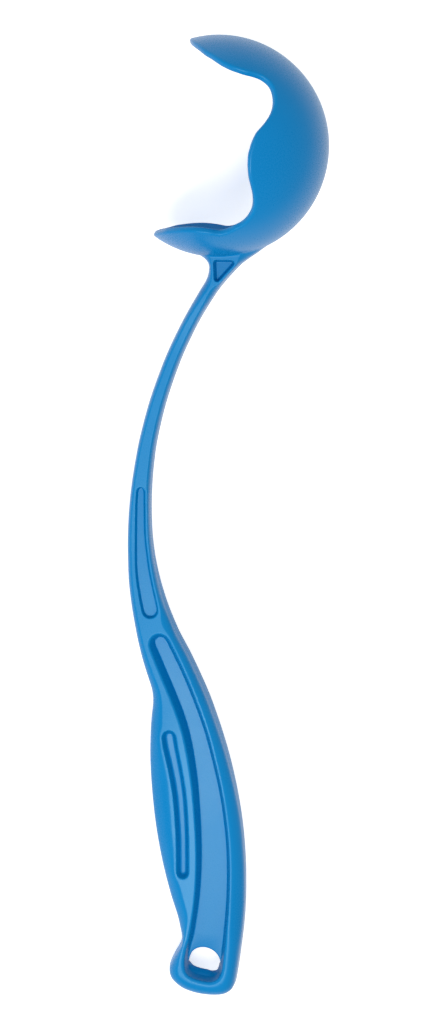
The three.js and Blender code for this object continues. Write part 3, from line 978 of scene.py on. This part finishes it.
def both_halves(tree, near, plastic):
    """The cup's near half joined to its mirror image, smooth and of the plastic."""
    far = add_node(tree, "GeometryNodeTransform", {"Geometry": near, "Scale": (1, 1, -1)})
    far = add_node(tree, "GeometryNodeFlipFaces", {"Mesh": far.outputs[0]})
    both = add_node(tree, "GeometryNodeJoinGeometry", {"Geometry": near})
    tree.links.new(far.outputs[0], both.inputs[0])
    shell = add_node(tree, "GeometryNodeMergeByDistance",
                     {"Geometry": both.outputs[0], "Distance": CUP_JOINED * MM})
    shell = add_node(tree, "GeometryNodeSetShadeSmooth", {"Geometry": shell.outputs[0]})
    shell = add_node(tree, "GeometryNodeRealizeInstances", {"Geometry": shell.outputs[0]})
    shell = add_node(tree, "GeometryNodeSetMaterial",
                     {"Geometry": shell.outputs[0], "Material": plastic})
    return shell.outputs[0]


def cup_tree(plastic):
    """A spherical wall between a rim line and its mirror image, with square edges whose
    corners are rounded."""
    tree = bpy.data.node_groups.new("ball_cup_shell", "GeometryNodeTree")
    sizes = (("Rim", "NodeSocketGeometry"), ("Inner Radius", "NodeSocketFloat"),
             ("Wall", "NodeSocketFloat"), ("Stations", "NodeSocketInt"),
             ("Arc Steps", "NodeSocketInt"), ("Edge Steps", "NodeSocketInt"),
             ("Edge Power", "NodeSocketFloat"))
    for name, kind in sizes:
        tree.interface.new_socket(name, in_out="INPUT", socket_type=kind)
    tree.interface.new_socket("Shell", in_out="OUTPUT", socket_type="NodeSocketGeometry")
    given = tree.nodes.new("NodeGroupInput").outputs
    wall_half = maths(tree, "MULTIPLY", given["Wall"], 0.5)
    middle = maths(tree, "ADD", given["Inner Radius"], wall_half)

    # a grid along the near half of the rim, whose rows run from the parting plane over the
    # outer face, round the edge and back over the inner face
    arc, edge = given["Arc Steps"], given["Edge Steps"]
    total = maths(tree, "ADD", maths(tree, "MULTIPLY", arc, 2.0), edge)
    grid = add_node(tree, "GeometryNodeMeshGrid",
                    {"Size X": 1.0, "Size Y": 1.0, "Vertices X": given["Stations"],
                     "Vertices Y": maths(tree, "ADD", total, 1.0)}).outputs["Mesh"]
    place = tree.nodes.new("GeometryNodeInputPosition").outputs[0]
    place = add_node(tree, "ShaderNodeSeparateXYZ", {0: place}).outputs
    along = maths(tree, "MULTIPLY", maths(tree, "ADD", place[0], 0.5), 0.5)
    step = maths(tree, "MULTIPLY", maths(tree, "ADD", place[1], 0.5), total)

    rim = add_node(tree, "GeometryNodeSampleCurve",
                   {"Curves": rim_curve(tree, given["Rim"]), "Factor": along}, mode="FACTOR")
    outward = vectors(tree, "NORMALIZE", rim.outputs["Position"])
    inward = vectors(tree, "NORMALIZE",
                     vectors(tree, "CROSS_PRODUCT", rim.outputs["Tangent"], outward))
    start = vectors(tree, "NORMALIZE",
                    vectors(tree, "ADD", scaled(tree, outward, middle),
                            scaled(tree, inward, wall_half)))

    # how far a row has come over each face, and round the edge between them
    quarter = math.pi / 2
    past = maths(tree, "SUBTRACT", step, arc)
    outer = maths(tree, "DIVIDE", step, arc, clamp=True)
    inner = maths(tree, "DIVIDE", maths(tree, "SUBTRACT", past, edge), arc, clamp=True)
    round_edge = maths(tree, "MULTIPLY", maths(tree, "DIVIDE", past, edge, clamp=True), math.pi)

    # the heading from the cup's centre climbs from the parting plane to the rim and back
    spread = maths(tree, "MULTIPLY",
                   maths(tree, "SINE", maths(tree, "MULTIPLY", outer, quarter)),
                   maths(tree, "COSINE", maths(tree, "MULTIPLY", inner, quarter)))
    parts = add_node(tree, "ShaderNodeSeparateXYZ", {0: start}).outputs
    level = add_node(tree, "ShaderNodeCombineXYZ", {0: parts[0], 1: parts[1]}).outputs[0]
    climb_angle = maths(tree, "MULTIPLY", maths(tree, "ARCSINE", parts[2]), spread)
    rising = add_node(tree, "ShaderNodeCombineXYZ",
                      {2: maths(tree, "SINE", climb_angle)}).outputs[0]
    heading = vectors(tree, "ADD", scaled(tree, vectors(tree, "NORMALIZE", level),
                                          maths(tree, "COSINE", climb_angle)), rising)

    # the edge's section: out to the wall's faces by the cosine, onward by the sine
    across = maths(tree, "COSINE", round_edge)
    across = maths(tree, "MULTIPLY", maths(tree, "SIGN", across),
                   maths(tree, "POWER", maths(tree, "ABSOLUTE", across), given["Edge Power"]))
    onward = maths(tree, "MAXIMUM", maths(tree, "SINE", round_edge), 0.0)
    onward = maths(tree, "POWER", onward, given["Edge Power"])
    radius = maths(tree, "ADD", middle, maths(tree, "MULTIPLY", wall_half, across))
    bulge = maths(tree, "MULTIPLY", wall_half, onward)
    surface = vectors(tree, "SUBTRACT", scaled(tree, heading, radius),
                      scaled(tree, inward, bulge))
    near = add_node(tree, "GeometryNodeSetPosition", {"Geometry": grid, "Position": surface})
    add_node(tree, "NodeGroupOutput", {0: both_halves(tree, near.outputs[0], plastic)})
    return tree


def cup_piece(plastic):
    """The cup's shell, made by the tree from the points of its rim, as a plain mesh."""
    near = []
    for turn, polar in CUP_EDGE:
        turn, polar = math.radians(turn), math.radians(polar)
        near.append(Vector((math.sin(polar) * math.cos(turn), math.sin(polar) * math.sin(turn),
                            math.cos(polar))))
    far = [Vector((p.x, p.y, -p.z)) for p in near[-2:0:-1]]
    rim = bpy.data.meshes.new("cup_rim_line")
    rim.from_pydata([p * OUTER_RADIUS * MM for p in near + far], [], [])
    holder = put("cup_rim_holder", rim)
    modifier = holder.modifiers.new("shell", "NODES")
    modifier.node_group = cup_tree(plastic)
    for item in modifier.node_group.interface.items_tree:
        if item.name in CUP_SIZES and item.in_out == "INPUT":
            modifier[item.identifier] = CUP_SIZES[item.name]
    seen = bpy.context.evaluated_depsgraph_get()
    mesh = bpy.data.meshes.new_from_object(holder.evaluated_get(seen))
    bpy.data.objects.remove(holder)
    mesh.name = "cup_shell"
    mesh.transform(PLACE)
    show(mesh, "cup_shell", "ball_cup")


# The plastic

# Blue, with a faint drift between two depths of it over about 30 mm
DEEP_BLUE = (0.0004, 0.192, 0.490, 1)
LIGHT_BLUE = (0.0008, 0.202, 0.510, 1)
DRIFT_SIZE = 30
DRIFT_ROUGHNESS = (0.26, 0.30)
# The mould's fine grain and the slow ripple of its sides: size across in millimetres, then the
# bump's strength and height
GRAIN_SIZE, GRAIN_STRENGTH, GRAIN_HEIGHT = 0.35, 0.05, 0.02
RIPPLE_SIZE, RIPPLE_STRENGTH, RIPPLE_HEIGHT = 5.0, 0.12, 0.06
GRAIN_ROUGHNESS = (-0.03, 0.03)
NOISE_BAND = (0.3, 0.7)
# The gloss: weak, and greenish rather than white
PLASTIC_IOR = 1.33
GLOSS_TINT = (0.58, 0.95, 0.93, 1)
# The colour sockets of a Mix node
MIX_A, MIX_B, MIX_RESULT = 6, 7, 2


def satin_plastic():
    """The moulding's one material, on Object coordinates in millimetres."""
    plastic = bpy.data.materials.new("satin_blue_plastic")
    tree = bare_tree(plastic)
    place = tree.nodes.new("ShaderNodeTexCoord").outputs["Object"]

    def cloud(size, detail):
        return add_node(tree, "ShaderNodeTexNoise",
                        {"Vector": place, "Scale": 1 / (size * MM), "Detail": detail}).outputs[0]

    def banded(value, low, high):
        start, end = NOISE_BAND
        return add_node(tree, "ShaderNodeMapRange",
                        {"Value": value, "From Min": start, "From Max": end, "To Min": low,
                         "To Max": high}).outputs[0]

    drift = cloud(DRIFT_SIZE, 2.0)
    tint = add_node(tree, "ShaderNodeMix",
                    {"Factor": banded(drift, 0.0, 1.0), MIX_A: DEEP_BLUE, MIX_B: LIGHT_BLUE},
                    data_type="RGBA").outputs[MIX_RESULT]
    grain = cloud(GRAIN_SIZE, 3.0)
    ripple = cloud(RIPPLE_SIZE, 2.0)
    rough = maths(tree, "ADD", banded(grain, *GRAIN_ROUGHNESS), banded(drift, *DRIFT_ROUGHNESS))
    fine = add_node(tree, "ShaderNodeBump",
                    {"Strength": GRAIN_STRENGTH, "Distance": GRAIN_HEIGHT * MM, "Height": grain})
    soft = add_node(tree, "ShaderNodeBump",
                    {"Strength": RIPPLE_STRENGTH, "Distance": RIPPLE_HEIGHT * MM,
                     "Height": ripple, "Normal": fine.outputs[0]})
    shader = add_node(tree, "ShaderNodeBsdfPrincipled",
                      {"Base Color": tint, "Roughness": rough, "Normal": soft.outputs[0]})
    shader.inputs["IOR"].default_value = PLASTIC_IOR
    shader.inputs["Specular Tint"].default_value = GLOSS_TINT
    add_node(tree, "ShaderNodeOutputMaterial", {"Surface": shader.outputs[0]})
    return plastic


# Stage, light and camera, with lengths in metres

FLOOR_HALF = 2.0
PAPER = (0.88, 0.88, 0.88, 1)
# The paper's own glow, and how much more of it the camera sees
PAPER_GLOW = 0.20
CAMERA_GLOW = 0.38
ROOM_LIGHT = (0.97, 0.99, 1.0, 1)
ROOM_STRENGTH = 0.57
WHITE = (1, 1, 1, 1)
# Each soft box: its place and target in the mould's frame, width, height, watts and colour
SOFT_BOXES = {
    "overhead_box": ((-0.085, -0.41, 1.05), (0, -0.17, 0), 0.16, 0.70, 6.8, (1.0, 0.90, 0.87)),
    "front_box": ((0.12, 0.04, 1.15), (0, -0.08, 0), 0.50, 0.50, 1.9, (1, 1, 1)),
}


def pale_floor():
    """White paper that keeps the shadow and glows a little."""
    mesh = bpy.data.meshes.new("studio_floor")
    corners = [(x * FLOOR_HALF, y * FLOOR_HALF, 0)
               for x, y in ((-1, -1), (1, -1), (1, 1), (-1, 1))]
    mesh.from_pydata(corners, [], [(0, 1, 2, 3)])
    floor = put("studio_floor", mesh)
    paper = bpy.data.materials.new("white_paper")
    tree = bare_tree(paper)
    matt = add_node(tree, "ShaderNodeBsdfDiffuse", {"Color": PAPER})
    seen = tree.nodes.new("ShaderNodeLightPath").outputs["Is Camera Ray"]
    glow = add_node(tree, "ShaderNodeEmission",
                    {"Color": WHITE,
                     "Strength": maths(tree, "MULTIPLY_ADD", seen, CAMERA_GLOW, PAPER_GLOW)})
    lifted = add_node(tree, "ShaderNodeAddShader", {0: matt.outputs[0], 1: glow.outputs[0]})
    add_node(tree, "ShaderNodeOutputMaterial", {"Surface": lifted.outputs[0]})
    mesh.materials.append(paper)


def studio_world():
    """An even pale room that the camera sees as white."""
    world = bpy.data.worlds.new("studio")
    bpy.context.scene.world = world
    tree = bare_tree(world)
    room = add_node(tree, "ShaderNodeBackground",
                    {"Color": ROOM_LIGHT, "Strength": ROOM_STRENGTH})
    white = add_node(tree, "ShaderNodeBackground", {"Color": WHITE, "Strength": 1.0})
    rays = tree.nodes.new("ShaderNodeLightPath").outputs
    mixed = add_node(tree, "ShaderNodeMixShader",
                     {0: rays["Is Camera Ray"], 1: room.outputs[0], 2: white.outputs[0]})
    add_node(tree, "ShaderNodeOutputWorld", {"Surface": mixed.outputs[0]})


def soft_box(name, spot, target, wide, tall, power, colour):
    lamp = bpy.data.lights.new(name, "AREA")
    lamp.shape = "RECTANGLE"
    lamp.size, lamp.size_y, lamp.energy, lamp.color = wide, tall, power, colour
    holder = put(name, lamp)
    holder.location = PLACE @ Vector(spot)
    aim = PLACE @ Vector(target) - PLACE @ Vector(spot)
    holder.rotation_euler = aim.to_track_quat("-Z", "Y").to_euler()


# The photograph's view in the mould's frame: the camera's tilts, the cup's centre from it in
# millimetres, its focal length in pixels, the image's height, the sensor's, and its range
VIEW_PITCH = math.radians(7.0)
VIEW_ROLL = math.radians(4.2)
VIEW_OFFSET = (0.080, 116.600, -1000.0)
FOCAL_PIXELS = 3137.05
IMAGE_TALL = 1024
SENSOR = 36.0
VIEW_RANGE = (0.05, 20)


def photo_camera():
    """The camera that saw the thrower from about a metre away, nearly square to its face."""
    roll = Matrix.Rotation(VIEW_ROLL, 3, "Y").transposed()
    pitch = Matrix.Rotation(VIEW_PITCH, 3, "X")
    turn = pitch @ roll
    eye = -(turn.transposed() @ Vector(VIEW_OFFSET)) * MM
    lens = bpy.data.cameras.new("photo_camera")
    lens.sensor_width = SENSOR
    lens.lens = FOCAL_PIXELS / IMAGE_TALL * SENSOR
    lens.clip_start, lens.clip_end = VIEW_RANGE
    camera = put("photo_camera", lens)
    camera.matrix_world = PLACE @ Matrix.Translation(eye) @ turn.transposed().to_4x4()
    bpy.context.scene.camera = camera


# The scene

photo_camera()
pale_floor()
studio_world()
for name, setting in SOFT_BOXES.items():
    soft_box(name, *setting)

plastic = satin_plastic()
cup_piece(plastic)
arm = whole_arm()
seams = [NECK_ROOT + ARM_REACH * seam for seam in (NECK_SEAM, GRIP_SEAM, LOOP_SEAM)]
for name, node, top, bottom in (("neck_web", "neck", None, seams[0]),
                                ("shaft_web", "shaft", seams[0], seams[1]),
                                ("grip_web", "grip", seams[1], seams[2]),
                                ("loop_web", "hang_loop", seams[2], None)):
    arm_piece(arm_slice(arm, top, bottom), name, node, plastic)
arm.free()

bpy.context.scene.view_settings.view_transform = "Standard"
